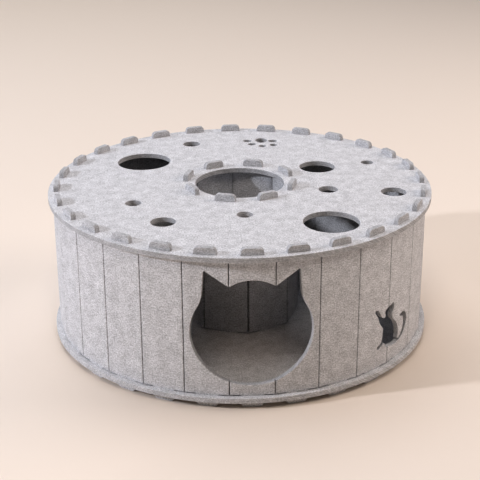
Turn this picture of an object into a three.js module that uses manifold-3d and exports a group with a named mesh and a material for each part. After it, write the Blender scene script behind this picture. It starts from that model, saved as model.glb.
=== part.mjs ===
// Felt donut cat tunnel: two round boards held apart by an outer and an inner wall, all of thick felt.
// The walls are scored strips. Their tabs push through slots in the boards, and the lower tabs are the feet.
// Millimetres, +Z up. The origin is on the floor under the middle, and the doorway faces -Y.
// Angles on plan run from -Y towards +X.
import * as THREE from "three";
import { mergeVertices } from "three/addons/utils/BufferGeometryUtils.js";
import ManifoldModule from "manifold-3d";

// Felt and clearances
const FELT = 8;
const GAP = 0.3;
const JOIN_OVERLAP = 0.2;

// Boards
const BOARD_RADIUS = 300;
const WELL_RADIUS = 70;
const WALL_HEIGHT = 209;

// Tabs, on every panel of both walls
const TAB_WIDTH = 32.8;
const TAB_TOP_WIDTH = 31;
const TAB_CORNER = 5.5;
const TAB_STAND = 10.5;
const FOOT_STAND = 10;
const TAB_THICKNESS = FELT - 0.4;
const TAB_ROOT = 5;

// Heights
const BASE_UNDERSIDE = FOOT_STAND;
const BASE_TOP = BASE_UNDERSIDE + FELT;
const LID_UNDERSIDE = BASE_TOP + WALL_HEIGHT;
const LID_TOP = LID_UNDERSIDE + FELT;

// Walls: apothem is from the middle to the outside of a panel, turn is the angle of the first panel,
// and seam is the number of the panel that starts the strip, whose edge butts against the strip's end
const OUTER_WALL = { panels: 28, apothem: 291.2, turn: 0, seam: 14 };
const INNER_WALL = { panels: 8, apothem: 88.5, turn: THREE.MathUtils.degToRad(26.7), seam: 5 };
const SCORE_DEPTH = 5.5;
const SCORE_KERF = 0.8;
const SEAM_GAP = 0.6;

// Doorway, a round cat's head with two ears, measured on the flat strip from the middle of panel 0
const DOOR = {
  middleHeight: 115.7,
  halfWidth: 87.4,
  halfHeight: 80.2,
  browHeight: 198,
  earInner: { s: 32.2, z: 188.5 },
  earRootHeight: 157,
  ear: [
    { s: 71.6, z: 165.5 },
    { s: 69.8, z: 173.5 },
    { s: 68.9, z: 184 },
    { s: 67.2, z: 208.5 },
    { s: 65.6, z: 211 },
  ],
};

// Playing cat cut out beside the doorway, across the score between panels 3 and 4.
// s is along the flat strip from that score and z above the floor. A row with corner 1 starts a new curve.
const PLAYING_CAT_SCORE = 3.5;
const PLAYING_CAT = [
  { s: 14, z: 115, corner: 1, at: "ear tip" },
  { s: 0, z: 111.5, corner: 0, at: "brow" },
  { s: -8.5, z: 106, corner: 0, at: "nose" },
  { s: -5.5, z: 98.5, corner: 0, at: "throat" },
  { s: -9.5, z: 95.5, corner: 1, at: "front of the shoulder" },
  { s: -15.5, z: 100, corner: 0, at: "top of the raised leg" },
  { s: -21, z: 110, corner: 0, at: "wrist" },
  { s: -27, z: 114.5, corner: 0, at: "top of the paw" },
  { s: -30.5, z: 112, corner: 0, at: "tip of the paw" },
  { s: -27.5, z: 108, corner: 0, at: "pad of the paw" },
  { s: -22.5, z: 100, corner: 0, at: "underside of the raised leg" },
  { s: -19, z: 90.5, corner: 0, at: "elbow" },
  { s: -11, z: 80.5, corner: 1, at: "armpit" },
  { s: -11.5, z: 71, corner: 0, at: "belly" },
  { s: -13, z: 60.5, corner: 1, at: "front of the thigh" },
  { s: -18, z: 54.5, corner: 0, at: "top of the front foot" },
  { s: -24, z: 53, corner: 0, at: "toes of the front foot" },
  { s: -22, z: 47.5, corner: 0, at: "tip of the front foot" },
  { s: -13.5, z: 51.5, corner: 0, at: "sole of the front foot" },
  { s: -6.5, z: 55.5, corner: 1, at: "between the feet" },
  { s: -5.5, z: 47, corner: 1, at: "toes of the back foot" },
  { s: 8, z: 44.5, corner: 0, at: "sole of the back foot" },
  { s: 27, z: 43, corner: 0, at: "under the tail" },
  { s: 42, z: 48, corner: 0, at: "outside of the tail" },
  { s: 53, z: 61.5, corner: 0, at: "outside of the tail's rise" },
  { s: 56, z: 73, corner: 0, at: "outside of the tail's bend" },
  { s: 48.5, z: 86, corner: 0, at: "top of the tail's hook" },
  { s: 38, z: 87, corner: 0, at: "front of the tail's hook" },
  { s: 32, z: 83, corner: 1, at: "tip of the tail" },
  { s: 43, z: 80, corner: 0, at: "inside of the tail's hook" },
  { s: 45, z: 64, corner: 0, at: "inside of the tail's rise" },
  { s: 36, z: 50, corner: 0, at: "inside of the tail" },
  { s: 28.5, z: 47, corner: 1, at: "root of the tail" },
  { s: 29.5, z: 62, corner: 0, at: "lower back" },
  { s: 24, z: 76, corner: 0, at: "upper back" },
  { s: 11, z: 89.5, corner: 0, at: "shoulder blade" },
  { s: 9, z: 96.5, corner: 0, at: "nape" },
  { s: 14.5, z: 105, corner: 0, at: "back of the ear" },
];

// Round holes in the top board
const ROUND_HOLES = [
  { name: "large_back", x: -152, y: 117.5, diameter: 87 },
  { name: "large_front", x: 123, y: -177, diameter: 83 },
  { name: "medium_back", x: 131, y: 69, diameter: 58 },
  { name: "medium_front", x: -121, y: -160.5, diameter: 37 },
  { name: "medium_side", x: 235.5, y: -55.5, diameter: 39 },
  { name: "small_back", x: -71, y: 208.5, diameter: 29 },
  { name: "small_side", x: -166, y: -79, diameter: 24.5 },
  { name: "small_front", x: -1, y: -141, diameter: 24 },
  { name: "small_inner", x: 135.5, y: -40.5, diameter: 30 },
  { name: "small_edge", x: 216.5, y: 88.5, diameter: 20.5 },
];

// Paw print in the top board, all rows ovals: width along X and length along Y
const PAW_PRINT = [
  { name: "pad", x: 51, y: 222, width: 20.5, length: 26.5 },
  { name: "toe_1", x: 26.5, y: 220, width: 15, length: 13.5 },
  { name: "toe_2", x: 33, y: 200, width: 14, length: 12.5 },
  { name: "toe_3", x: 50.5, y: 189, width: 12.5, length: 13 },
  { name: "toe_4", x: 70, y: 194, width: 13.5, length: 13 },
  { name: "toe_5", x: 70.5, y: 217.5, width: 16, length: 13.5 },
];

const FELT_GREY = 0xc6c4c3;

const wasm = await ManifoldModule();
wasm.setup();

// Solids from geometry, and back again

function solidOf(geometry) {
  const bare = geometry.clone();
  bare.deleteAttribute("normal");
  bare.deleteAttribute("uv");
  const merged = mergeVertices(bare, 1e-4);
  return new wasm.Manifold(new wasm.Mesh({
    numProp: 3,
    vertProperties: new Float32Array(merged.attributes.position.array),
    triVerts: new Uint32Array(merged.index.array),
  }));
}

function geometryOf(solid) {
  const mesh = solid.getMesh();
  const geometry = new THREE.BufferGeometry();
  geometry.setAttribute("position", new THREE.BufferAttribute(new Float32Array(mesh.vertProperties), 3));
  geometry.setIndex(new THREE.BufferAttribute(new Uint32Array(mesh.triVerts), 1));
  geometry.computeVertexNormals();
  return geometry;
}

// Plan helpers

function polar(radius, angle) {
  return new THREE.Vector2(radius * Math.sin(angle), -radius * Math.cos(angle));
}

function pitchOf(wall) {
  return 2 * Math.PI / wall.panels;
}

function panelAngle(wall, panel) {
  return wall.turn + panel * pitchOf(wall);
}

function ovalPoints(x, y, width, length, steps) {
  const points = [];
  for (let i = 0; i < steps; i += 1) {
    const angle = 2 * Math.PI * i / steps;
    points.push(new THREE.Vector2(x + width / 2 * Math.cos(angle), y + length / 2 * Math.sin(angle)));
  }
  return points;
}

function circlePoints(x, y, diameter, steps) {
  return ovalPoints(x, y, diameter, diameter, steps);
}

function flatSheet(shape, underside) {
  const geometry = new THREE.ExtrudeGeometry(shape, { depth: FELT, bevelEnabled: false });
  geometry.translate(0, 0, underside);
  return geometry;
}

// A panel's own frame: x along the strip, y up and z outwards, with its origin under the middle of the panel
function panelFrame(wall, panel) {
  const angle = panelAngle(wall, panel);
  const along = new THREE.Vector3(Math.cos(angle), Math.sin(angle), 0);
  const up = new THREE.Vector3(0, 0, 1);
  const outwards = new THREE.Vector3(Math.sin(angle), -Math.cos(angle), 0);
  return new THREE.Matrix4().makeBasis(along, up, outwards);
}

// A flat outline in a panel's frame, made into a plate between two distances from the middle
function panelPlate(wall, panel, shape, inner, outer) {
  const geometry = new THREE.ExtrudeGeometry(shape, { depth: outer - inner, bevelEnabled: false });
  geometry.translate(0, 0, inner);
  geometry.applyMatrix4(panelFrame(wall, panel));
  return solidOf(geometry);
}

// Boards

function slotPoints(wall, panel) {
  const angle = panelAngle(wall, panel);
  const along = new THREE.Vector2(Math.cos(angle), Math.sin(angle));
  const middle = polar(wall.apothem - FELT / 2, angle);
  const outwards = polar(1, angle);
  const halfWidth = TAB_WIDTH / 2 + GAP;
  const halfDepth = TAB_THICKNESS / 2 + GAP;
  const corners = [[-1, -1], [1, -1], [1, 1], [-1, 1]];
  return corners.map(([a, b]) => middle.clone()
    .addScaledVector(along, a * halfWidth)
    .addScaledVector(outwards, b * halfDepth));
}

function boardShape() {
  const shape = new THREE.Shape(circlePoints(0, 0, 2 * BOARD_RADIUS, 4 * OUTER_WALL.panels));
  for (const wall of [OUTER_WALL, INNER_WALL]) {
    for (let panel = 0; panel < wall.panels; panel += 1) {
      shape.holes.push(new THREE.Path(slotPoints(wall, panel)));
    }
  }
  return shape;
}

function topBoard() {
  const shape = boardShape();
  shape.holes.push(new THREE.Path(circlePoints(0, 0, 2 * WELL_RADIUS, 64)));
  for (const hole of ROUND_HOLES) {
    const steps = hole.diameter > 50 ? 40 : 24;
    shape.holes.push(new THREE.Path(circlePoints(hole.x, hole.y, hole.diameter, steps)));
  }
  for (const oval of PAW_PRINT) {
    shape.holes.push(new THREE.Path(ovalPoints(oval.x, oval.y, oval.width, oval.length, 16)));
  }
  return flatSheet(shape, LID_UNDERSIDE);
}

function baseBoard() {
  return flatSheet(boardShape(), BASE_UNDERSIDE);
}

// Walls

// Plan of a scored strip bent round into a ring, from its start round to its butted end and back inside
function stripShape(wall) {
  const pitch = pitchOf(wall);
  const outerHalf = wall.apothem * Math.tan(pitch / 2);
  const innerCorner = (wall.apothem - FELT) / Math.cos(pitch / 2);
  const scoreBottom = wall.apothem / Math.cos(pitch / 2) - SCORE_DEPTH;
  const scoreHalf = SCORE_DEPTH * Math.tan(pitch / 2) + SCORE_KERF / 2;
  const outside = [];
  const inside = [];
  for (let i = 0; i < wall.panels; i += 1) {
    const angle = panelAngle(wall, wall.seam + i);
    const along = new THREE.Vector2(Math.cos(angle), Math.sin(angle));
    const face = polar(wall.apothem, angle);
    if (i > 0) {
      outside.push(polar(scoreBottom, angle - pitch / 2));
      inside.push(polar(innerCorner, angle - pitch / 2));
    }
    outside.push(face.clone().addScaledVector(along, -outerHalf + scoreHalf));
    outside.push(face.clone().addScaledVector(along, outerHalf - scoreHalf));
  }
  const seamAngle = panelAngle(wall, wall.seam) - pitch / 2;
  const aside = new THREE.Vector2(Math.cos(seamAngle), Math.sin(seamAngle)).multiplyScalar(SEAM_GAP / 2);
  const seamOuter = polar(scoreBottom, seamAngle);
  const seamInner = polar(innerCorner, seamAngle);
  outside.unshift(seamOuter.clone().add(aside));
  inside.unshift(seamInner.clone().add(aside));
  outside.push(seamOuter.clone().sub(aside));
  inside.push(seamInner.clone().sub(aside));
  return new THREE.Shape([...outside, ...inside.reverse()]);
}

// One tab upright: its root lies inside the panel, it is straight through the board, then draws in
function tabShape(rootHeight, direction, stand) {
  const y = (rise) => rootHeight + direction * rise;
  const half = TAB_WIDTH / 2;
  const topHalf = TAB_TOP_WIDTH / 2;
  const shoulder = FELT + GAP;
  const top = shoulder + stand;
  const shape = new THREE.Shape();
  shape.moveTo(-half, y(-TAB_ROOT));
  shape.lineTo(half, y(-TAB_ROOT));
  shape.lineTo(half, y(shoulder));
  shape.lineTo(topHalf, y(top - TAB_CORNER));
  shape.quadraticCurveTo(topHalf, y(top), topHalf - TAB_CORNER, y(top));
  shape.lineTo(-topHalf + TAB_CORNER, y(top));
  shape.quadraticCurveTo(-topHalf, y(top), -topHalf, y(top - TAB_CORNER));
  shape.lineTo(-half, y(shoulder));
  shape.closePath();
  return new THREE.Shape(shape.getPoints(3));
}

function addTabs(strip, wall) {
  const outer = wall.apothem - (FELT - TAB_THICKNESS) / 2;
  const inner = outer - TAB_THICKNESS;
  const shapes = [
    tabShape(LID_UNDERSIDE - GAP, 1, TAB_STAND),
    tabShape(BASE_TOP + GAP, -1, FOOT_STAND),
  ];
  let walled = strip;
  for (let panel = 0; panel < wall.panels; panel += 1) {
    for (const shape of shapes) {
      walled = walled.add(panelPlate(wall, panel, shape, inner, outer));
    }
  }
  return walled;
}

function wallStrip(wall) {
  const height = WALL_HEIGHT - 2 * GAP;
  const geometry = new THREE.ExtrudeGeometry(stripShape(wall), { depth: height, bevelEnabled: false });
  geometry.translate(0, 0, BASE_TOP + GAP);
  return addTabs(solidOf(geometry), wall);
}

// Cut-outs in the outer wall. Each is drawn on the flat strip and cut square through every panel it crosses.

function flatPanelWidth(wall) {
  return 2 * (wall.apothem - SCORE_DEPTH) * Math.tan(pitchOf(wall) / 2);
}

function doorPoints() {
  const { middleHeight, halfWidth, halfHeight, browHeight, earInner } = DOOR;
  const startAngle = Math.asin((DOOR.earRootHeight - middleHeight) / halfHeight);
  const faceSteps = 40;
  const browSteps = 8;
  const points = [];
  for (let i = 0; i <= faceSteps; i += 1) {
    const angle = startAngle - (Math.PI + 2 * startAngle) * i / faceSteps;
    const z = middleHeight + halfHeight * Math.sin(angle);
    points.push(new THREE.Vector2(halfWidth * Math.cos(angle), z));
  }
  for (const { s, z } of DOOR.ear) {
    points.push(new THREE.Vector2(-s, z));
  }
  for (let i = 0; i <= browSteps; i += 1) {
    const t = 2 * i / browSteps - 1;
    const z = browHeight - (browHeight - earInner.z) * t * t;
    points.push(new THREE.Vector2(earInner.s * t, z));
  }
  for (const { s, z } of [...DOOR.ear].reverse()) {
    points.push(new THREE.Vector2(s, z));
  }
  return points;
}

// Smooth curves between the rows marked as corners
function curvedOutline(rows, stepsPerRow) {
  const starts = rows.map((row, index) => (row.corner ? index : -1)).filter((index) => index >= 0);
  const points = [];
  starts.forEach((start, order) => {
    const end = starts[(order + 1) % starts.length];
    const count = (end - start + rows.length) % rows.length;
    const run = [];
    for (let i = 0; i <= count; i += 1) {
      const row = rows[(start + i) % rows.length];
      run.push(new THREE.Vector3(row.s, row.z, 0));
    }
    const curve = new THREE.CatmullRomCurve3(run, false, "centripetal");
    for (const point of curve.getPoints(count * stepsPerRow).slice(0, -1)) {
      points.push(new THREE.Vector2(point.x, point.y));
    }
  });
  return points;
}

// The slice of space that belongs to one panel
function panelSector(wall, panel) {
  const reach = wall.apothem + 2 * FELT;
  const margin = JOIN_OVERLAP / wall.apothem;
  const angle = panelAngle(wall, panel);
  const half = pitchOf(wall) / 2 + margin;
  const corners = [polar(0, angle), polar(reach, angle - half), polar(reach, angle + half)];
  const shape = new THREE.Shape(corners);
  return solidOf(new THREE.ExtrudeGeometry(shape, { depth: LID_TOP, bevelEnabled: false }));
}

function cutThrough(solid, wall, points, shift, panels) {
  const width = flatPanelWidth(wall);
  let cut = solid;
  for (const panel of panels) {
    const onPanel = points.map((point) => new THREE.Vector2(point.x + shift - panel * width, point.y));
    const shape = new THREE.Shape(onPanel);
    const cutter = panelPlate(wall, panel, shape, wall.apothem - 2 * FELT, wall.apothem + FELT);
    cut = cut.subtract(cutter.intersect(panelSector(wall, panel)));
  }
  return cut;
}

function outerWall() {
  const catShift = PLAYING_CAT_SCORE * flatPanelWidth(OUTER_WALL);
  let solid = wallStrip(OUTER_WALL);
  solid = cutThrough(solid, OUTER_WALL, doorPoints(), 0, [-1, 0, 1]);
  solid = cutThrough(solid, OUTER_WALL, curvedOutline(PLAYING_CAT, 3), catShift, [3, 4]);
  return geometryOf(solid);
}

function innerWall() {
  return geometryOf(wallStrip(INNER_WALL));
}

// The object

function piece(name, geometry) {
  const material = new THREE.MeshStandardMaterial({ color: FELT_GREY, roughness: 0.95, metalness: 0 });
  const mesh = new THREE.Mesh(geometry, material);
  mesh.name = name;
  return mesh;
}

const catTunnel = new THREE.Group();
catTunnel.add(piece("top_board", topBoard()));
catTunnel.add(piece("base_board", baseBoard()));
catTunnel.add(piece("outer_wall", outerWall()));
catTunnel.add(piece("inner_wall", innerWall()));

export default catTunnel;
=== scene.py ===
"""Felt donut cat tunnel: two round boards held apart by two scored walls, all cut from thick grey felt."""

import math

import bmesh
import bpy
from mathutils import Matrix, Vector, noise
from mathutils.geometry import interpolate_bezier


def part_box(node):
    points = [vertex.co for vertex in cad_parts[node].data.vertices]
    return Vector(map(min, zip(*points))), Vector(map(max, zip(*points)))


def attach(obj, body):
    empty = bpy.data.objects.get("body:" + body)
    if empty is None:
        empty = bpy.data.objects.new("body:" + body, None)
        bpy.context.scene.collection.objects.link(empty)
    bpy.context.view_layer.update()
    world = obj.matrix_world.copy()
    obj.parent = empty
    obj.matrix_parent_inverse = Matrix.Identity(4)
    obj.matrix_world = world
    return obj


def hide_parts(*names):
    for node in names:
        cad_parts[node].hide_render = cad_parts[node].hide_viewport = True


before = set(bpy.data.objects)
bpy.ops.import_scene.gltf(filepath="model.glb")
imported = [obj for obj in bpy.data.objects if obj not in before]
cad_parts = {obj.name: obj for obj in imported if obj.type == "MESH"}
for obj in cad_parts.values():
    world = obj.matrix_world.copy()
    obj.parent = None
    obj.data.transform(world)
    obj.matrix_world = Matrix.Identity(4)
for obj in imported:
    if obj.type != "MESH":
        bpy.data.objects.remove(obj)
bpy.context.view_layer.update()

bl_info = {
    "name": "Felt donut cat tunnel",
    "version": (1, 0, 0),
    "blender": (4, 5, 0),
    "location": "View3D > Sidebar > Cat Tunnel",
    "description": "Builds a round felt cat tunnel over its solids, with its stage and camera",
    "category": "Object",
}

MM = 0.001

# Places taken from the solids
BOARD_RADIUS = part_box("top_board")[1].x
LID_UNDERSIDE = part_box("top_board")[0].z
LID_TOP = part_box("top_board")[1].z
BASE_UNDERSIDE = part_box("base_board")[0].z
BASE_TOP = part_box("base_board")[1].z
TAB_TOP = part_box("outer_wall")[1].z

# Panels of each wall: apothem is from the middle to the outside of a panel, turn the angle of panel 0
# on plan from -Y, first the number of the panel that starts the strip, spread how much wider a panel's
# outside gets in the fold, crease the half width of the fold's inside crease, and shade how dark the
# painted shade at the bottoms of its scores and creases is
OUTER_WALL = {
    "panels": 28, "apothem": 291.2 * MM, "turn": 0.0, "first": -14, "spread": 0.01, "crease": 0.3 * MM,
    "shade": 1.2,
}
INNER_WALL = {
    "panels": 8, "apothem": 88.5 * MM, "turn": math.radians(26.7), "first": -3, "spread": 0.022,
    "crease": 1.2 * MM, "shade": 1.6,
}

# Doorway in millimetres, a round cat's head with two ears, on the flat strip from the middle of panel 0
DOOR_MIDDLE_HEIGHT = 115.7
DOOR_HALF_WIDTH = 87.4
DOOR_HALF_HEIGHT = 80.2
DOOR_BROW_HEIGHT = 198
DOOR_EAR_INNER = (32.2, 188.5)
DOOR_EAR_ROOT_HEIGHT = 157
DOOR_EAR = [(71.6, 165.5), (69.8, 173.5), (68.9, 184), (67.2, 208.5), (65.6, 211)]
DOOR_STEPS = 96
BROW_HALF_STEPS = 10

# Playing cat in millimetres: along the strip from the score between panels 3 and 4, height above the
# floor, and 1 where a new curve starts
PLAYING_CAT_SCORE = 3.5
PLAYING_CAT = [
    (14, 115, 1), (0, 111.5, 0), (-8.5, 106, 0), (-5.5, 98.5, 0),
    (-9.5, 95.5, 1), (-15.5, 100, 0), (-21, 110, 0), (-27, 114.5, 0), (-30.5, 112, 0),
    (-27.5, 108, 0), (-22.5, 100, 0), (-19, 90.5, 0),
    (-11, 80.5, 1), (-11.5, 71, 0),
    (-13, 60.5, 1), (-18, 54.5, 0), (-24, 53, 0), (-22, 47.5, 0), (-13.5, 51.5, 0),
    (-6.5, 55.5, 1),
    (-5.5, 47, 1), (8, 44.5, 0), (27, 43, 0), (42, 48, 0), (53, 61.5, 0), (56, 73, 0),
    (48.5, 86, 0), (38, 87, 0),
    (32, 83, 1), (43, 80, 0), (45, 64, 0), (36, 50, 0),
    (28.5, 47, 1), (29.5, 62, 0), (24, 76, 0), (11, 89.5, 0), (9, 96.5, 0), (14.5, 105, 0),
]
PLAYING_CAT_SPACING = 1.7
PLAYING_CAT_EASING = 3

# Round holes in the top board in millimetres: x, y, diameter
ROUND_HOLES = [
    (-152, 117.5, 87), (123, -177, 83), (131, 69, 58), (-121, -160.5, 37), (235.5, -55.5, 39),
    (-71, 208.5, 29), (-166, -79, 24.5), (-1, -141, 24), (135.5, -40.5, 30), (216.5, 88.5, 20.5),
]

# Paw print in the top board in millimetres, all ovals: x, y, width, length
PAW_PRINT = [
    (51, 222, 20.5, 26.5), (26.5, 220, 15, 13.5), (33, 200, 14, 12.5),
    (50.5, 189, 12.5, 13), (70, 194, 13.5, 13), (70.5, 217.5, 16, 13.5),
]

# Number of sides of each round outline. A hole is large above this diameter in millimetres
BOARD_SIDES = 224
WELL_SIDES = 96
LARGE_HOLE_DIAMETER = 50
LARGE_HOLE_SIDES = 64
SMALL_HOLE_SIDES = 40
PAW_SIDES = 28

# Clear space in millimetres between a wall and each board, and at both ends of a wall's strip
PIECE_GAP = 0.3

# Play on each side between a slot and the tab or foot in it
SLOT_PLAY_WIDTH = 0.2 * MM
SLOT_PLAY_THICKNESS = 0.15 * MM

# A score's full depth goes this far past its half width, and its eased mouth goes further
SCORE_WALL = 0.1 * MM
SCORE_MOUTH = 0.4 * MM
SCORE_MOUTH_DEPTH = 0.5 * MM

# Points this close to the middle of a score lie in the fold. The crease on the inside of the fold is this
# many times as deep as it is half wide, narrows over this reach, and leaves this much felt under the score
FOLD_WIDTH = 0.1 * MM
CREASE_RATIO = 2.2
CREASE_REACH = 1.0 * MM
FELT_IN_FOLD = 1.0 * MM

# At each end of a strip this share of a panel is butted to the other end, and not scored
BUTTED_SHARE = 0.25

# Between its feet a wall hangs clear of the base. The lift starts above the foot line, since what is lower
# belongs to the feet, and fades out at its reach. Both heights are above the base
FOOT_LINE = 0.2 * MM
FOOT_LIFT = 1.3 * MM
FOOT_LIFT_REACH = 9 * MM

# Unevenness of the felt: the share by which a panel's bow varies, the height over which the bow fades at
# a board, how far a tab leans, and how far a board waves
BOW_VARIATION = 0.8
BOW_FADE = 25 * MM
TAB_LEAN = 0.35 * MM
BOARD_WAVE = 0.5 * MM

# Painted shade on the cut edges, less of it on the base board's cut edge, and painted shade on the tabs, on
# the scale of the attribute that carries it
EDGE_SHADE = 0.87
BASE_EDGE_SHADE = 0.62
TAB_SHADE = 0.67

# Spacing of the points that the felt bends at: board slices in millimetres, how many on each side of the
# middle, and how many rows a wall has in its height
BOARD_SLICE = 20
BOARD_SLICES = 14
WALL_ROWS = 12

# Distances below which points are the same, and the angle in degrees from which an edge is sharp
SLICE_TOLERANCE = 1e-7
MERGE_DISTANCE = 1e-6
SHARP_ANGLE = 50

# Sockets of the colour mix node, whose names repeat
MIX_A = 6
MIX_B = 7
MIX_RESULT = 2

# The camera as fitted to the photograph: focal length and picture width in pixels, sensor width in
# millimetres, distance from the middle of the top board, and angles in degrees
CAMERA_FOCAL = 1211.0
CAMERA_PICTURE = 480
CAMERA_SENSOR = 36
CAMERA_DISTANCE = 1.9158
CAMERA_ELEVATION = 19.56
CAMERA_SIDE = 3.296
CAMERA_PITCH = 22.21
CAMERA_ROLL = 0.289

# Lights: name, place, target, size in metres, power in watts, colour, and spread in degrees
STAGE_MIDDLE = (0, 0, 0.15)
LIGHTS = [
    ("Key lamp", (-3.7, -0.86, 1.93), STAGE_MIDDLE, 0.2, 98, "f2f5ff", 180),
    ("Overhead soft box", (-0.3, 1.4, 3.8), STAGE_MIDDLE, 3.2, 77, "f0f4ff", 180),
    ("Front soft box", (-0.3, -2.2, 3.7), STAGE_MIDDLE, 1.4, 56, "fff5ec", 180),
    ("Left soft box", (-3.2, 0.7, 1.0), STAGE_MIDDLE, 1.5, 25, "eef3ff", 180),
    ("Right reflector", (2.75, 0.2, 1.6), STAGE_MIDDLE, 1.6, 51, "fff3ec", 180),
    ("Tunnel lamp", (0.01, -0.17, 0.222), (0.01, -0.17, 0), 0.1, 0.01, "ffe6cf", 65),
    ("Background soft box", (-1.2, 3.6, 2.6), (-0.8, 3.0, 0), 2.0, 26, "fffaf0", 180),
]

# The room: colour and strength of its light, the view's gamma, and the floor's half width in metres
ROOM_COLOUR = "fbf3ec"
ROOM_STRENGTH = 0.06
VIEW_GAMMA = 0.87
FLOOR_REACH = 9


def linear(hex_colour):
    """An sRGB hex colour as linear red, green, blue and alpha."""
    values = [int(hex_colour[i:i + 2], 16) / 255 for i in (0, 2, 4)]
    return tuple(v / 12.92 if v <= 0.04045 else ((v + 0.055) / 1.055) ** 2.4 for v in values) + (1.0,)


class FeltTunnelSizes(bpy.types.PropertyGroup):
    """Sizes of the felt, its cuts and its tabs."""

    felt: bpy.props.FloatProperty(
        name="Felt thickness", description="Thickness of every felt sheet",
        default=8 * MM, unit="LENGTH",
    )
    lip: bpy.props.FloatProperty(
        name="Edge softness", description="Radius that every cut edge is rounded to",
        default=0.7 * MM, unit="LENGTH",
    )
    well_diameter: bpy.props.FloatProperty(
        name="Middle hole", description="Diameter of the hole in the middle of the top board",
        default=140 * MM, unit="LENGTH",
    )
    dome: bpy.props.FloatProperty(
        name="Top board rise", description="How far the middle of the top board stands above its rim",
        default=3 * MM, unit="LENGTH",
    )
    tab_width: bpy.props.FloatProperty(
        name="Tab width", description="Width of a tab where it passes through a board",
        default=32.8 * MM, unit="LENGTH",
    )
    tab_top_width: bpy.props.FloatProperty(
        name="Tab end width", description="Width of a tab at its end",
        default=31 * MM, unit="LENGTH",
    )
    tab_corner: bpy.props.FloatProperty(
        name="Tab corner", description="Radius of the two corners at the end of a tab",
        default=5.5 * MM, unit="LENGTH",
    )
    score_depth: bpy.props.FloatProperty(
        name="Score depth", description="Depth of the score between two panels",
        default=5.5 * MM, unit="LENGTH",
    )
    score_width: bpy.props.FloatProperty(
        name="Score width", description="Width of a score while its strip is flat",
        default=0.6 * MM, unit="LENGTH",
    )
    panel_bow: bpy.props.FloatProperty(
        name="Panel bow", description="How far the middle of a panel stands out",
        default=0.6 * MM, unit="LENGTH",
    )


class FeltTunnelColours(bpy.types.PropertyGroup):
    """Colours of the felt and of the stage."""

    felt_light: bpy.props.FloatVectorProperty(
        name="Light fibres", description="Colour of the light fibres",
        default=linear("e6e6e9"), size=4, subtype="COLOR", min=0, max=1,
    )
    felt_dark: bpy.props.FloatVectorProperty(
        name="Dark fibres", description="Colour of the dark fibres",
        default=linear("a5a5a7"), size=4, subtype="COLOR", min=0, max=1,
    )
    floor: bpy.props.FloatVectorProperty(
        name="Floor", description="Colour of the floor",
        default=linear("e6dace"), size=4, subtype="COLOR", min=0, max=1,
    )


# Flat outlines, drawn at real size before the felt gets its thickness


def closed_outline(bm, points, corners=(), radius=0.0, eased=0):
    """Draws one closed outline in millimetres, eases it, and rounds off the numbered corners."""
    verts = [bm.verts.new((x * MM, y * MM, 0)) for x, y in points]
    bm.faces.new(verts)
    for _ in range(eased):
        bmesh.ops.smooth_vert(bm, verts=verts, factor=0.5, use_axis_x=True, use_axis_y=True)
    if corners:
        bmesh.ops.bevel(
            bm, geom=[verts[i] for i in corners], affect="VERTICES", offset=radius,
            offset_type="OFFSET", segments=4, profile=0.5, material=-1,
        )


def oval_outline(bm, x, y, width, length, segments):
    """Draws a round or oval cut in millimetres."""
    place = Matrix.Translation((x * MM, y * MM, 0))
    size = Matrix.Diagonal((width / 2 * MM, length / 2 * MM, 1, 1))
    bmesh.ops.create_circle(bm, cap_ends=False, segments=segments, radius=1, matrix=place @ size)


def panel_pitch(wall):
    """Angle between two neighbouring panels of a wall."""
    return 2 * math.pi / wall["panels"]


def flat_panel_width(wall, sizes):
    """Width of a panel on the flat strip, which folds at the bottom of its scores."""
    return 2 * (wall["apothem"] - sizes.score_depth) * math.tan(panel_pitch(wall) / 2)


def doorway_points():
    """The doorway's outline, from the outside of the right ear round under the chin to the brow."""
    reach = (DOOR_EAR_ROOT_HEIGHT - DOOR_MIDDLE_HEIGHT) / DOOR_HALF_HEIGHT
    start = math.asin(reach)
    points = []
    for i in range(DOOR_STEPS + 1):
        angle = start - (math.pi + 2 * start) * i / DOOR_STEPS
        points.append((
            DOOR_HALF_WIDTH * math.cos(angle),
            DOOR_MIDDLE_HEIGHT + DOOR_HALF_HEIGHT * math.sin(angle),
        ))
    points += [(-s, z) for s, z in DOOR_EAR]
    for i in range(2 * BROW_HALF_STEPS + 1):
        t = i / BROW_HALF_STEPS - 1
        drop = (DOOR_BROW_HEIGHT - DOOR_EAR_INNER[1]) * t * t
        points.append((DOOR_EAR_INNER[0] * t, DOOR_BROW_HEIGHT - drop))
    return points + DOOR_EAR[::-1]


def smooth_run(run, spacing):
    """A smooth curve through a run of points, without its last point."""
    points = [Vector(p) for p in run]
    padded = [2 * points[0] - points[1], *points, 2 * points[-1] - points[-2]]
    found = []
    for p0, p1, p2, p3 in zip(padded, padded[1:], padded[2:], padded[3:]):
        d1, d2, d3 = (math.sqrt((b - a).length) for a, b in ((p0, p1), (p1, p2), (p2, p3)))
        leave = d2 * ((p1 - p0) / d1 - (p2 - p0) / (d1 + d2) + (p2 - p1) / d2)
        arrive = d2 * ((p2 - p1) / d2 - (p3 - p1) / (d2 + d3) + (p3 - p2) / d3)
        steps = max(2, round((p2 - p1).length / spacing))
        found += interpolate_bezier(p1, p1 + leave / 3, p2 - arrive / 3, p2, steps + 1)[:-1]
    return found


def playing_cat_points(shift):
    """The playing cat's outline, moved along the strip."""
    starts = [i for i, row in enumerate(PLAYING_CAT) if row[2]]
    points = []
    for start, end in zip(starts, starts[1:] + [starts[0] + len(PLAYING_CAT)]):
        run = [PLAYING_CAT[i % len(PLAYING_CAT)][:2] for i in range(start, end + 1)]
        points += [(p.x + shift, p.y) for p in smooth_run(run, PLAYING_CAT_SPACING)]
    return points


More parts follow.
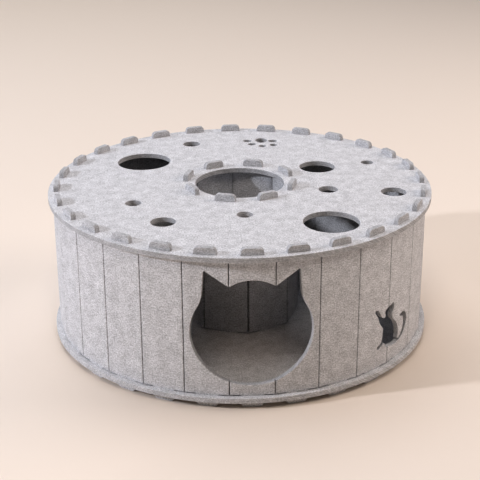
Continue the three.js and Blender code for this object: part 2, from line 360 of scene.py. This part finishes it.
def strip_points(wall, sizes, lower_edge, upper_edge, foot_end, tab_end):
    """The outline of a wall's flat strip in millimetres, with a foot and a tab on every panel."""
    width = flat_panel_width(wall, sizes) / MM
    half, end_half = sizes.tab_width / 2 / MM, sizes.tab_top_width / 2 / MM
    through = sizes.felt / MM
    ends = [
        (wall["first"] - 0.5) * width + PIECE_GAP,
        (wall["first"] + wall["panels"] - 0.5) * width - PIECE_GAP,
    ]
    points, corners = [(ends[0], lower_edge)], []
    for direction, edge, end in ((1, lower_edge, foot_end), (-1, upper_edge, tab_end)):
        outwards = -direction
        shoulder = edge + outwards * through
        panels = range(wall["first"], wall["first"] + wall["panels"])
        for panel in panels if direction > 0 else reversed(panels):
            middle = panel * width
            points += [
                (middle - direction * half, edge),
                (middle - direction * half, shoulder),
                (middle - direction * end_half, end),
                (middle + direction * end_half, end),
                (middle + direction * half, shoulder),
                (middle + direction * half, edge),
            ]
            corners += [len(points) - 4, len(points) - 3]
        points.append((ends[1] if direction > 0 else ends[0], edge))
        if direction > 0:
            points.append((ends[1], upper_edge))
    return points, corners


# Felt sheets


def thicken(bm, sizes):
    """Fills the flat outlines and makes them one felt sheet with softly rounded cut edges.

    Faces that carry a number, which are the plugs of a board's slots, stay faces of their own.
    """
    drop = [f for f in bm.faces if not f.material_index]
    bmesh.ops.delete(bm, geom=drop, context="FACES_ONLY")
    bmesh.ops.triangle_fill(bm, use_beauty=True, edges=bm.edges[:], normal=(0, 0, 1))
    for face in bm.faces:
        if face.normal.z < 0:
            face.normal_flip()
    back = bm.faces[:]
    raised = bmesh.ops.extrude_face_region(bm, geom=back, use_keep_orig=True)["geom"]
    front = [g for g in raised if isinstance(g, bmesh.types.BMFace)]
    lifted = [g for g in raised if isinstance(g, bmesh.types.BMVert)]
    bmesh.ops.translate(bm, verts=bm.verts, vec=(0, 0, sizes.lip))
    bmesh.ops.translate(bm, verts=lifted, vec=(0, 0, sizes.felt - 2 * sizes.lip))
    bmesh.ops.recalc_face_normals(bm, faces=bm.faces)
    angles = [math.radians(a) for a in (0, 30, 60, 90)]
    for cap in (front, back):
        for a, b in zip(angles, angles[1:]):
            bmesh.ops.inset_region(
                bm, faces=cap, use_boundary=True, use_even_offset=True,
                thickness=sizes.lip * (math.cos(a) - math.cos(b)),
                depth=sizes.lip * (math.sin(b) - math.sin(a)),
            )


def slice_across(bm, geom, places, normal):
    """Cuts geometry by parallel planes, so that it has points to bend at."""
    for place in places:
        geom = bmesh.ops.bisect_plane(
            bm, geom=geom, dist=SLICE_TOLERANCE, plane_co=Vector(normal) * place, plane_no=normal,
        )["geom"]


def everything(bm):
    """All the points, edges and faces of a mesh."""
    return bm.verts[:] + bm.edges[:] + bm.faces[:]


def write_flat_pattern(bm, sizes, edge_shade):
    """Keeps the flat sheet's own coordinates for the material, and how much painted shade each point of a
    cut edge gets.
    """
    pattern = bm.loops.layers.uv.new("flat_felt")
    cut = bm.verts.layers.float.new("painted_shade")
    for vert in bm.verts:
        depth = min(vert.co.z, sizes.felt - vert.co.z)
        vert[cut] = min(edge_shade, max(0.0, depth / sizes.lip))
    for face in bm.faces:
        for loop in face.loops:
            x, y, z = loop.vert.co
            loop[pattern].uv = (x + z, y + z)


def finish_felt(bm, name, node, material):
    """Makes the felt mesh an object that stands for its solid."""
    bmesh.ops.remove_doubles(bm, verts=bm.verts, dist=MERGE_DISTANCE)
    bmesh.ops.recalc_face_normals(bm, faces=bm.faces)
    for face in bm.faces:
        face.smooth = True
        face.material_index = 0
    for edge in bm.edges:
        edge.smooth = edge.calc_face_angle(0.0) < math.radians(SHARP_ANGLE)
    mesh = bpy.data.meshes.new(name)
    bm.to_mesh(mesh)
    bm.free()
    mesh.materials.append(material)
    obj = bpy.data.objects.new(name, mesh)
    bpy.context.scene.collection.objects.link(obj)
    normals = obj.modifiers.new("Even shading", "WEIGHTED_NORMAL")
    normals.keep_sharp = True
    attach(obj, "root")
    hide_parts(node)
    return obj


# Boards


def slot_plugs(bm, sizes):
    """Draws the slots of both walls as faces that stay in the sheet until its edges are rounded."""
    number = 0
    for wall in (OUTER_WALL, INNER_WALL):
        for panel in range(wall["panels"]):
            number += 1
            turn = Matrix.Rotation(wall["turn"] + panel * panel_pitch(wall), 4, "Z")
            out = Matrix.Translation((0, -(wall["apothem"] - sizes.felt / 2), 0))
            size = Matrix.Diagonal((
                sizes.tab_width / 2 + SLOT_PLAY_WIDTH, sizes.felt / 2 + SLOT_PLAY_THICKNESS, 1, 1,
            ))
            made = bmesh.ops.create_grid(
                bm, x_segments=1, y_segments=1, size=1, matrix=turn @ out @ size
            )
            for face in {f for v in made["verts"] for f in v.link_faces}:
                face.material_index = number


def open_slots(bm):
    """Takes the plugs out of both faces of the board and lines each slot."""
    plugs = {}
    for face in bm.faces:
        if face.material_index:
            plugs.setdefault(face.material_index, []).append(face)
    for faces in plugs.values():
        edges = [e for f in faces for e in f.edges]
        bmesh.ops.delete(bm, geom=faces, context="FACES_ONLY")
        bmesh.ops.bridge_loops(bm, edges=edges)


def bend_board(bm, underside, rise):
    """Lifts a flat board to its height, with a low rise to the middle and the unevenness of felt."""
    for vert in bm.verts:
        x, y, z = vert.co
        share = min(1.0, math.hypot(x, y) / BOARD_RADIUS)
        # The waves are about 100 mm long, and the underside's height sets the two boards apart
        wave = noise.noise(Vector((x * 9, y * 9, underside * 50)))
        lift = rise * (1 - share * share) + BOARD_WAVE * wave * (1 - share ** 6)
        vert.co.z = underside + z + lift


def build_board(name, node, underside, rise, cuts, edge_shade, sizes, material):
    """A round board with the slots of both walls and its own cuts."""
    bm = bmesh.new()
    diameter = 2 * BOARD_RADIUS / MM
    oval_outline(bm, 0, 0, diameter, diameter, BOARD_SIDES)
    for cut in cuts:
        oval_outline(bm, *cut)
    slot_plugs(bm, sizes)
    thicken(bm, sizes)
    open_slots(bm)
    places = [i * BOARD_SLICE * MM for i in range(-BOARD_SLICES, BOARD_SLICES + 1)]
    for normal in ((1, 0, 0), (0, 1, 0)):
        slice_across(bm, everything(bm), places, normal)
    write_flat_pattern(bm, sizes, edge_shade)
    bend_board(bm, underside, rise)
    return finish_felt(bm, name, node, material)


# Walls


def score_profile(away, sizes):
    """Depth of the outside face at a distance from the middle of a score."""
    half = sizes.score_width / 2
    if away < half + SCORE_WALL:
        return sizes.score_depth
    if away < half + SCORE_MOUTH:
        return SCORE_MOUTH_DEPTH
    return 0.0


def fold_wall(bm, wall, sizes, raised_by):
    """Presses the scores into the flat strip, then folds it round into its ring."""
    width = flat_panel_width(wall, sizes)
    tangent = math.tan(panel_pitch(wall) / 2)
    inside = wall["apothem"] - sizes.felt
    first, last = wall["first"] - 0.5, wall["first"] + wall["panels"] - 0.5
    top, bottom = LID_UNDERSIDE, BASE_TOP
    crease_depth = min(CREASE_RATIO * wall["crease"], sizes.felt - sizes.score_depth - FELT_IN_FOLD)
    cut = bm.verts.layers.float["painted_shade"]
    for vert in bm.verts:
        s, height, out = vert.co
        if height > bottom + FOOT_LINE:
            height += FOOT_LIFT * max(0.0, 1 - (height - bottom) / FOOT_LIFT_REACH)
        panel = min(max(round(s / width), wall["first"]), wall["first"] + wall["panels"] - 1)
        along = s - panel * width
        away = width / 2 - abs(along)
        at_end = (s / width - first) < BUTTED_SHARE or (last - s / width) < BUTTED_SHARE
        if not at_end:
            depth = score_profile(away, sizes)
            # Painted shade: points in a score are painted darker the deeper they lie, and the bottom of a
            # crease as dark as a score's bottom
            if out > sizes.felt - depth:
                out = sizes.felt - depth
                vert[cut] = max(vert[cut], min(wall["shade"], depth / MM))
            if away < FOLD_WIDTH and out < crease_depth:
                out = crease_depth
                vert[cut] = wall["shade"]
        limit = (inside + out) * tangent - (PIECE_GAP * MM if at_end else 0.0)
        along *= 1 + wall["spread"] * max(0.0, out) / sizes.felt
        if away < FOLD_WIDTH and not at_end:
            along = math.copysign(limit, along)
        else:
            limit -= wall["crease"] * max(0.0, 1 - out / CREASE_REACH)
        along = max(-limit, min(limit, along))
        free = max(0.0, min(1.0, (height - bottom) / BOW_FADE, (top - height) / BOW_FADE))
        free = free * free * (3 - 2 * free)
        share = 2 * along / width
        # The factors only set the panels, heights and walls apart in the noise
        bow_place = Vector((panel * 3.7, height * 7, wall["apothem"] * 40))
        lean_place = Vector((panel * 5.3, wall["apothem"] * 90, 2.0))
        bow = sizes.panel_bow * (1 + BOW_VARIATION * noise.noise(bow_place)) * (1 - share * share)
        lean = TAB_LEAN * noise.noise(lean_place)
        above = max(0.0, height - LID_TOP) / (TAB_TOP - LID_TOP)
        if height > LID_UNDERSIDE:
            # Painted shade: the tabs are painted darker from the top board's underside up
            vert[cut] = max(vert[cut], TAB_SHADE)
        distance = inside + out + bow * free + lean * above
        angle = wall["turn"] + panel * panel_pitch(wall)
        stretch = raised_by * max(0.0, min(1.0, (height - bottom) / (top - bottom)))
        vert.co = (
            along * math.cos(angle) + distance * math.sin(angle),
            along * math.sin(angle) - distance * math.cos(angle),
            height + stretch,
        )


def build_wall(name, node, wall, cut_outs, raised_by, sizes, material):
    """A strip with its feet, tabs and cut-outs, scored between panels and folded round."""
    bm = bmesh.new()
    outline, corners = strip_points(
        wall, sizes, BASE_TOP / MM + PIECE_GAP, LID_UNDERSIDE / MM - PIECE_GAP, 0, TAB_TOP / MM
    )
    closed_outline(bm, outline, corners, sizes.tab_corner)
    for points, eased in cut_outs:
        closed_outline(bm, points, eased=eased)
    thicken(bm, sizes)
    rows = [BASE_TOP + i * (LID_UNDERSIDE - BASE_TOP) / WALL_ROWS for i in range(1, WALL_ROWS)]
    slice_across(bm, everything(bm), rows, (0, 1, 0))
    width = flat_panel_width(wall, sizes)
    scores = [(wall["first"] + i + 0.5) * width for i in range(wall["panels"] - 1)]
    slice_across(bm, everything(bm), scores, (1, 0, 0))
    panels = {}
    for face in bm.faces:
        panels.setdefault(round(face.calc_center_median().x / width), []).append(face)
    half = sizes.score_width / 2
    # Slices on each side of a score, closest where the felt bends most
    steps = [half, half + 0.3 * MM, half + 1.0 * MM, width / 8, width / 4, width * 3 / 8]
    for panel, faces in panels.items():
        geom = list({v for f in faces for v in f.verts} | {e for f in faces for e in f.edges}) + faces
        low, high = (panel - 0.5) * width, (panel + 0.5) * width
        places = [low + step for step in steps] + [panel * width] + [high - step for step in steps]
        slice_across(bm, geom, places, (1, 0, 0))
    write_flat_pattern(bm, sizes, EDGE_SHADE)
    fold_wall(bm, wall, sizes, raised_by)
    return finish_felt(bm, name, node, material)


# Materials


def add(tree, kind, settings=None, inputs=None):
    """Adds a node with its settings, and gives each named input a value or a link."""
    node = tree.nodes.new(kind)
    for name, value in (settings or {}).items():
        setattr(node, name, value)
    for name, value in (inputs or {}).items():
        if isinstance(value, bpy.types.NodeSocket):
            tree.links.new(value, node.inputs[name])
        else:
            node.inputs[name].default_value = value
    return node


def new_material(name):
    """A material with an empty node tree."""
    material = bpy.data.materials.new(name)
    material.use_nodes = True
    material.node_tree.nodes.clear()
    return material


def polyester_felt(colours):
    """Needle-punched polyester felt: matt, mottled where the fibres lie thick or thin, and fuzzy."""
    material = new_material("Needle-punched polyester felt")
    tree = material.node_tree
    flat = add(tree, "ShaderNodeUVMap", {"uv_map": "flat_felt"}).outputs["UV"]
    # Clouds of thicker and thinner fibre, about 16 mm across
    clouds = add(tree, "ShaderNodeTexNoise", inputs={
        "Vector": flat, "Scale": 1 / (16 * MM), "Detail": 3.0, "Roughness": 0.55,
    }).outputs["Fac"]
    # Specks where fibres of the two shades meet, about 2 mm across
    specks = add(tree, "ShaderNodeTexNoise", inputs={
        "Vector": flat, "Scale": 1 / (2.2 * MM), "Detail": 2.0, "Roughness": 0.6,
    }).outputs["Fac"]
    # Single fibres are 0.02 mm thick, so they are drawn as tufts 8 mm long and 1.1 mm wide
    tufts = None
    for turn in (12, 71, 133):
        lay = add(tree, "ShaderNodeMapping", inputs={
            "Vector": flat, "Rotation": (0, 0, math.radians(turn)),
            "Scale": (1 / (8 * MM), 1 / (1.1 * MM), 1),
        })
        tuft = add(tree, "ShaderNodeTexNoise", inputs={
            "Vector": lay.outputs["Vector"], "Scale": 1.0, "Detail": 1.0, "Roughness": 0.5,
        }).outputs["Fac"]
        if tufts is None:
            tufts = tuft
        else:
            tufts = add(tree, "ShaderNodeMath", {"operation": "MAXIMUM"}, {0: tufts, 1: tuft}).outputs[0]
    # The three layers together lie mostly between 0.42 and 0.64, which is spread from dark to light fibre
    mixed = 0.0
    for layer, weight in ((clouds, 0.2), (specks, 0.5), (tufts, 0.3)):
        mixed = add(tree, "ShaderNodeMath", {"operation": "MULTIPLY_ADD"}, {
            0: layer, 1: weight, 2: mixed,
        }).outputs[0]
    share = add(tree, "ShaderNodeMapRange", inputs={
        "Value": mixed, "From Min": 0.42, "From Max": 0.64, "To Min": 0.0, "To Max": 1.0,
    }).outputs["Result"]
    colour = add(tree, "ShaderNodeMix", {"data_type": "RGBA"}, {
        "Factor": share, MIX_A: tuple(colours.felt_dark), MIX_B: tuple(colours.felt_light),
    }).outputs[MIX_RESULT]
    # Painted shade: cut edges and tabs are painted darker, and the narrow bottoms of scores and creases
    # nearly black
    cut = add(tree, "ShaderNodeAttribute", {"attribute_name": "painted_shade"}).outputs["Fac"]
    ends = add(tree, "ShaderNodeMapRange", inputs={
        "Value": cut, "From Min": 0.5, "From Max": 1.6, "To Min": 1.0, "To Max": 0.25,
    }).outputs["Result"]
    colour = add(tree, "ShaderNodeVectorMath", {"operation": "SCALE"}, {
        0: colour, "Scale": ends,
    }).outputs["Vector"]
    height = add(tree, "ShaderNodeMath", {"operation": "ADD"}, {0: tufts, 1: specks}).outputs[0]
    # The surface stands up to about half a millimetre unevenly
    bump = add(tree, "ShaderNodeBump", inputs={
        "Height": height, "Strength": 0.7, "Distance": 0.6 * MM,
    })
    shader = add(tree, "ShaderNodeBsdfPrincipled", inputs={
        "Base Color": colour, "Roughness": 0.95, "Specular IOR Level": 0.15,
        "Sheen Weight": 0.1, "Sheen Roughness": 0.6, "Normal": bump.outputs["Normal"],
    })
    add(tree, "ShaderNodeOutputMaterial", inputs={"Surface": shader.outputs["BSDF"]})
    return material


def painted_floor(colours):
    """Matt painted board: pale and even."""
    material = new_material("Matt painted board")
    tree = material.node_tree
    shader = add(tree, "ShaderNodeBsdfPrincipled", inputs={
        "Base Color": tuple(colours.floor), "Roughness": 0.8, "Specular IOR Level": 0.2,
    })
    add(tree, "ShaderNodeOutputMaterial", inputs={"Surface": shader.outputs["BSDF"]})
    return material


def felt_material(context):
    """The felt, made once and shared by every piece."""
    known = bpy.data.materials.get("Needle-punched polyester felt")
    return known or polyester_felt(context.scene.felt_tunnel_colours)


# Stage


def soft_light(name, place, target, size, power, colour, spread):
    """A square lamp or soft box that faces a target, with its light held to a spread in degrees."""
    light = bpy.data.lights.new(name, "AREA")
    light.shape = "SQUARE"
    light.size = size
    light.energy = power
    light.spread = math.radians(spread)
    light.color = linear(colour)[:3]
    obj = bpy.data.objects.new(name, light)
    obj.location = place
    obj.rotation_euler = (Vector(target) - Vector(place)).to_track_quat("-Z", "Y").to_euler()
    bpy.context.scene.collection.objects.link(obj)


def photo_camera():
    """The camera that stands where the photograph was taken from."""
    data = bpy.data.cameras.new("Photo camera")
    data.sensor_width = CAMERA_SENSOR
    data.lens = CAMERA_FOCAL / CAMERA_PICTURE * CAMERA_SENSOR
    data.clip_start, data.clip_end = 0.1, 60
    side, elevation = math.radians(CAMERA_SIDE), math.radians(CAMERA_ELEVATION)
    pitch, roll = math.radians(CAMERA_PITCH), math.radians(CAMERA_ROLL)
    place = Vector((0, 0, LID_TOP)) + CAMERA_DISTANCE * Vector((
        -math.sin(side) * math.cos(elevation),
        -math.cos(side) * math.cos(elevation),
        math.sin(elevation),
    ))
    forward = Vector((
        math.sin(side) * math.cos(pitch), math.cos(side) * math.cos(pitch), -math.sin(pitch)
    ))
    right = forward.cross(Vector((0, 0, 1))).normalized()
    up = right.cross(forward)
    rolled_right = right * math.cos(roll) - up * math.sin(roll)
    rolled_up = up * math.cos(roll) + right * math.sin(roll)
    basis = Matrix((rolled_right, rolled_up, -forward)).transposed().to_4x4()
    camera = bpy.data.objects.new("Photo camera", data)
    camera.matrix_world = Matrix.Translation(place) @ basis
    bpy.context.scene.collection.objects.link(camera)
    bpy.context.scene.camera = camera


# Operators


class FELT_OT_top_board(bpy.types.Operator):
    """Build the top board with its holes and paw print"""

    bl_idname = "felt_tunnel.top_board"
    bl_label = "Top Board"

    def execute(self, context):
        sizes = context.scene.felt_tunnel_sizes
        well = sizes.well_diameter / MM
        cuts = [(0, 0, well, well, WELL_SIDES)]
        for x, y, d in ROUND_HOLES:
            sides = LARGE_HOLE_SIDES if d > LARGE_HOLE_DIAMETER else SMALL_HOLE_SIDES
            cuts.append((x, y, d, d, sides))
        cuts += [(*oval, PAW_SIDES) for oval in PAW_PRINT]
        board = build_board(
            "felt_top_board", "top_board", LID_UNDERSIDE, sizes.dome, cuts, EDGE_SHADE, sizes,
            felt_material(context),
        )
        return {"FINISHED"}


class FELT_OT_base_board(bpy.types.Operator):
    """Build the base board"""

    bl_idname = "felt_tunnel.base_board"
    bl_label = "Base Board"

    def execute(self, context):
        sizes = context.scene.felt_tunnel_sizes
        board = build_board(
            "felt_base_board", "base_board", BASE_UNDERSIDE, 0.0, [], BASE_EDGE_SHADE, sizes,
            felt_material(context),
        )
        return {"FINISHED"}


class FELT_OT_outer_wall(bpy.types.Operator):
    """Build the outer wall with its doorway and playing cat"""

    bl_idname = "felt_tunnel.outer_wall"
    bl_label = "Outer Wall"

    def execute(self, context):
        sizes = context.scene.felt_tunnel_sizes
        shift = PLAYING_CAT_SCORE * flat_panel_width(OUTER_WALL, sizes) / MM
        cut_outs = [(doorway_points(), 0), (playing_cat_points(shift), PLAYING_CAT_EASING)]
        wall = build_wall(
            "felt_outer_wall", "outer_wall", OUTER_WALL, cut_outs, 0.0, sizes, felt_material(context)
        )
        return {"FINISHED"}


class FELT_OT_inner_wall(bpy.types.Operator):
    """Build the inner wall round the middle hole"""

    bl_idname = "felt_tunnel.inner_wall"
    bl_label = "Inner Wall"

    def execute(self, context):
        sizes = context.scene.felt_tunnel_sizes
        share = INNER_WALL["apothem"] / BOARD_RADIUS
        rise = sizes.dome * (1 - share * share)
        wall = build_wall(
            "felt_inner_wall", "inner_wall", INNER_WALL, [], rise, sizes, felt_material(context)
        )
        return {"FINISHED"}


class FELT_OT_stage(bpy.types.Operator):
    """Build the floor, the lights and the camera"""

    bl_idname = "felt_tunnel.stage"
    bl_label = "Stage"

    def execute(self, context):
        colours = context.scene.felt_tunnel_colours
        bm = bmesh.new()
        bmesh.ops.create_grid(bm, x_segments=4, y_segments=4, size=FLOOR_REACH)
        mesh = bpy.data.meshes.new("floor")
        bm.to_mesh(mesh)
        bm.free()
        mesh.materials.append(painted_floor(colours))
        floor = bpy.data.objects.new("floor", mesh)
        context.scene.collection.objects.link(floor)
        for light in LIGHTS:
            soft_light(*light)
        world = bpy.data.worlds.new("Soft room")
        world.use_nodes = True
        background = world.node_tree.nodes["Background"]
        background.inputs["Color"].default_value = linear(ROOM_COLOUR)
        background.inputs["Strength"].default_value = ROOM_STRENGTH
        context.scene.world = world
        context.scene.view_settings.view_transform = "Standard"
        context.scene.view_settings.gamma = VIEW_GAMMA
        photo_camera()
        return {"FINISHED"}


class VIEW3D_PT_felt_tunnel(bpy.types.Panel):
    """Lists the pieces of the cat tunnel"""

    bl_label = "Felt Cat Tunnel"
    bl_space_type = "VIEW_3D"
    bl_region_type = "UI"
    bl_category = "Cat Tunnel"

    def draw(self, context):
        layout = self.layout
        for group in (context.scene.felt_tunnel_sizes, context.scene.felt_tunnel_colours):
            for name in group.__annotations__:
                layout.prop(group, name)
        for operator in OPERATORS:
            layout.operator(operator.bl_idname)


OPERATORS = (
    FELT_OT_top_board,
    FELT_OT_base_board,
    FELT_OT_outer_wall,
    FELT_OT_inner_wall,
    FELT_OT_stage,
)
CLASSES = (FeltTunnelSizes, FeltTunnelColours, *OPERATORS, VIEW3D_PT_felt_tunnel)


def register():
    """Registers the classes, and puts both groups of properties on the scene."""
    for cls in CLASSES:
        bpy.utils.register_class(cls)
    bpy.types.Scene.felt_tunnel_sizes = bpy.props.PointerProperty(type=FeltTunnelSizes)
    bpy.types.Scene.felt_tunnel_colours = bpy.props.PointerProperty(type=FeltTunnelColours)


def unregister():
    """Takes both groups of properties off the scene, and removes the classes."""
    del bpy.types.Scene.felt_tunnel_colours
    del bpy.types.Scene.felt_tunnel_sizes
    for cls in reversed(CLASSES):
        bpy.utils.unregister_class(cls)


def main():
    """Builds every piece and the stage."""
    register()
    bpy.ops.felt_tunnel.top_board()
    bpy.ops.felt_tunnel.base_board()
    bpy.ops.felt_tunnel.outer_wall()
    bpy.ops.felt_tunnel.inner_wall()
    bpy.ops.felt_tunnel.stage()


if __name__ == "__main__":
    main()
